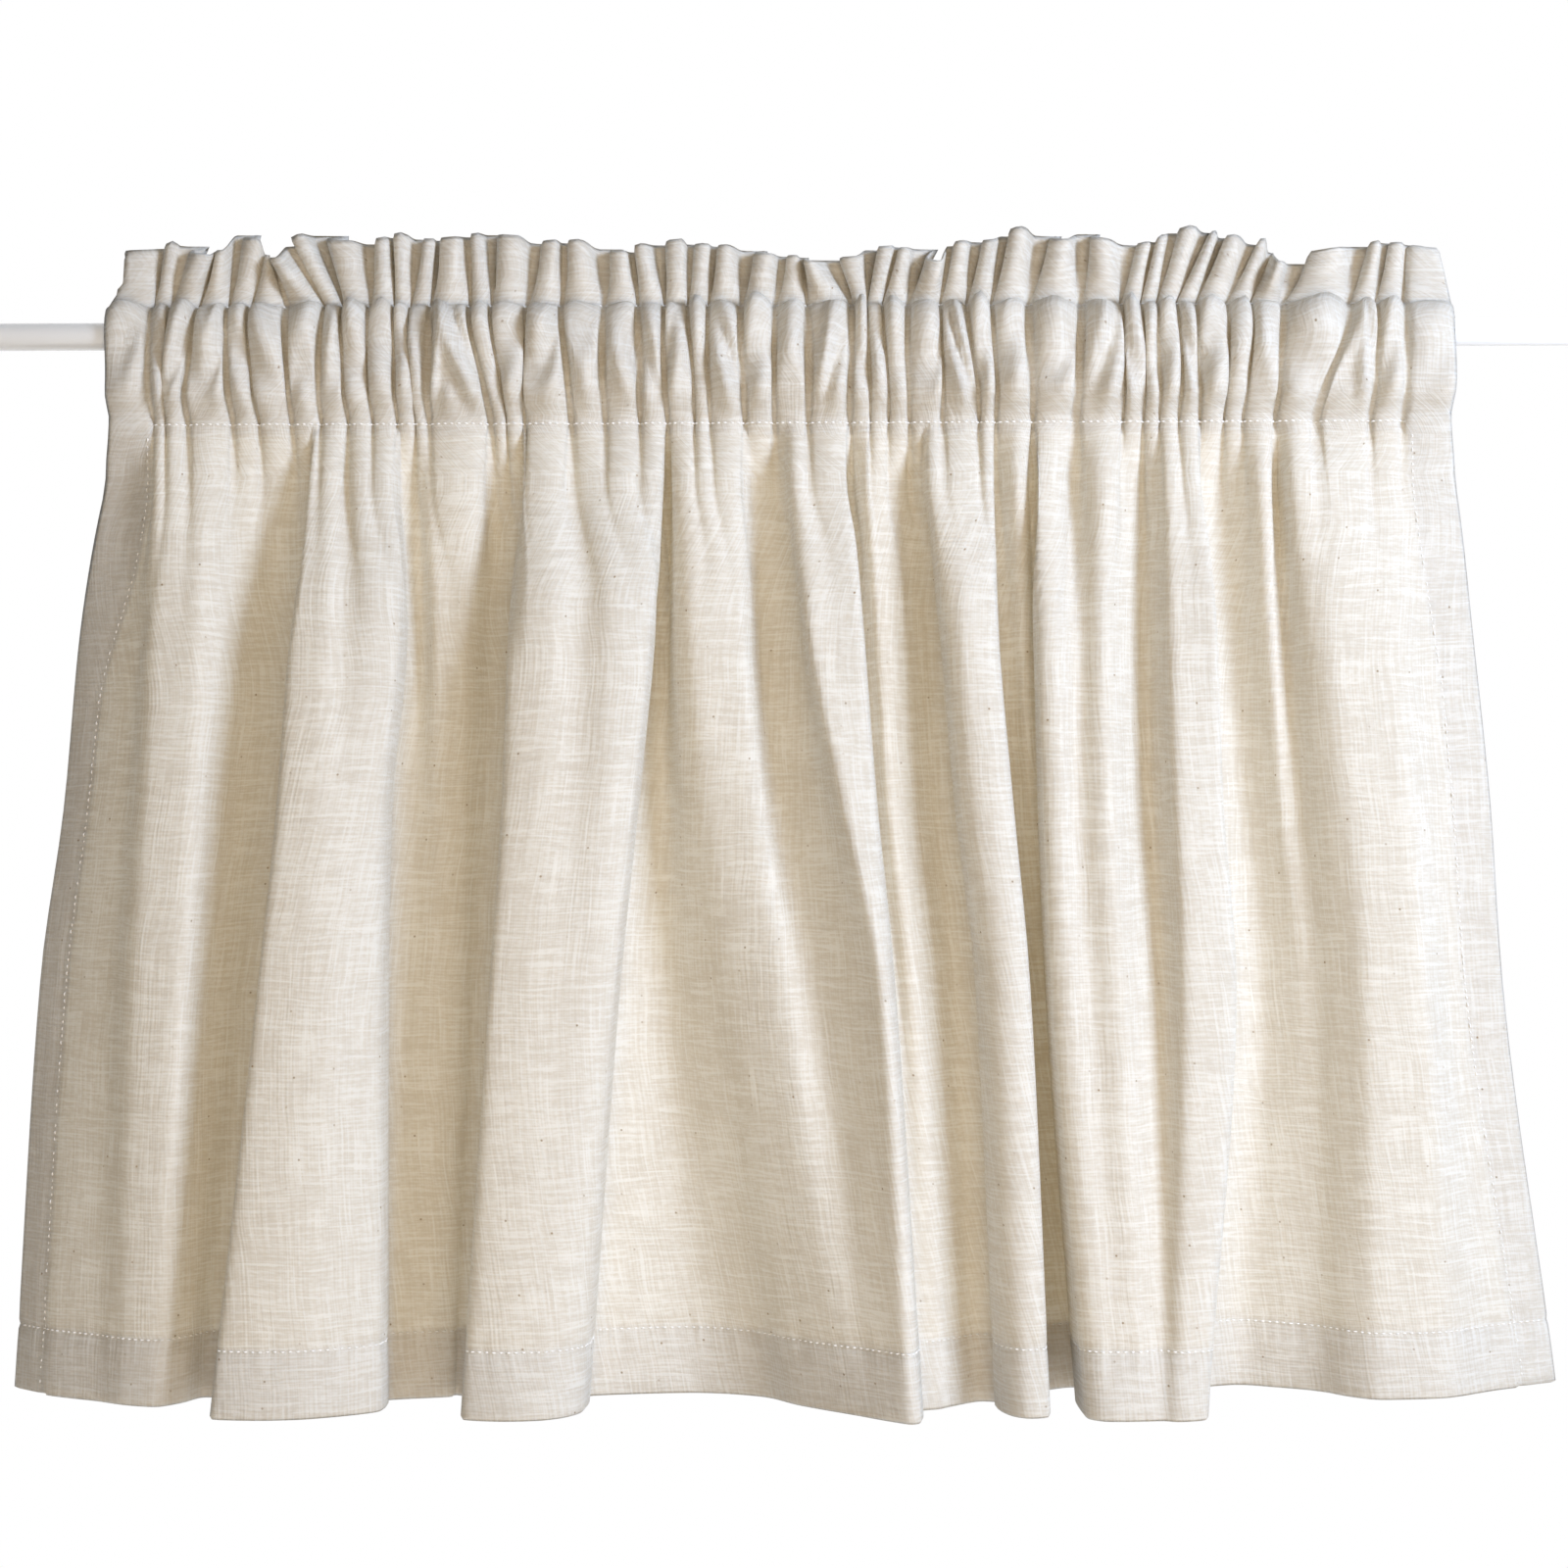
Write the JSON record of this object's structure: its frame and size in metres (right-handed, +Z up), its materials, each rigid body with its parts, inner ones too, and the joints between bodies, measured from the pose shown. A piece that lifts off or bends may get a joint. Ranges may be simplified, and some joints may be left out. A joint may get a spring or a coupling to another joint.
{
  "type": "cafe curtain on rod",
  "caption": "Short unlined cafe curtain of slubby natural cotton, gathered by its rod pocket on a plain straight rod, with an upright frill above the rod and uneven folds down to a plain hem.",
  "frame": {"origin": "centre of the rod's left end face, seen from the room", "axes": "+X along the rod to the right, seen from the room; +Z up; the curtain's front faces -Y"},
  "size_m": [0.62, 0.0716, 0.4494],
  "materials": {
    "cloth": "undyed plain weave with slubs, slightly sheer",
    "rod_paint": "smooth white satin"
  },
  "bodies": {
    "root": {"curtain": "cloth", "rod": "rod_paint"}
  },
  "joints": []
}
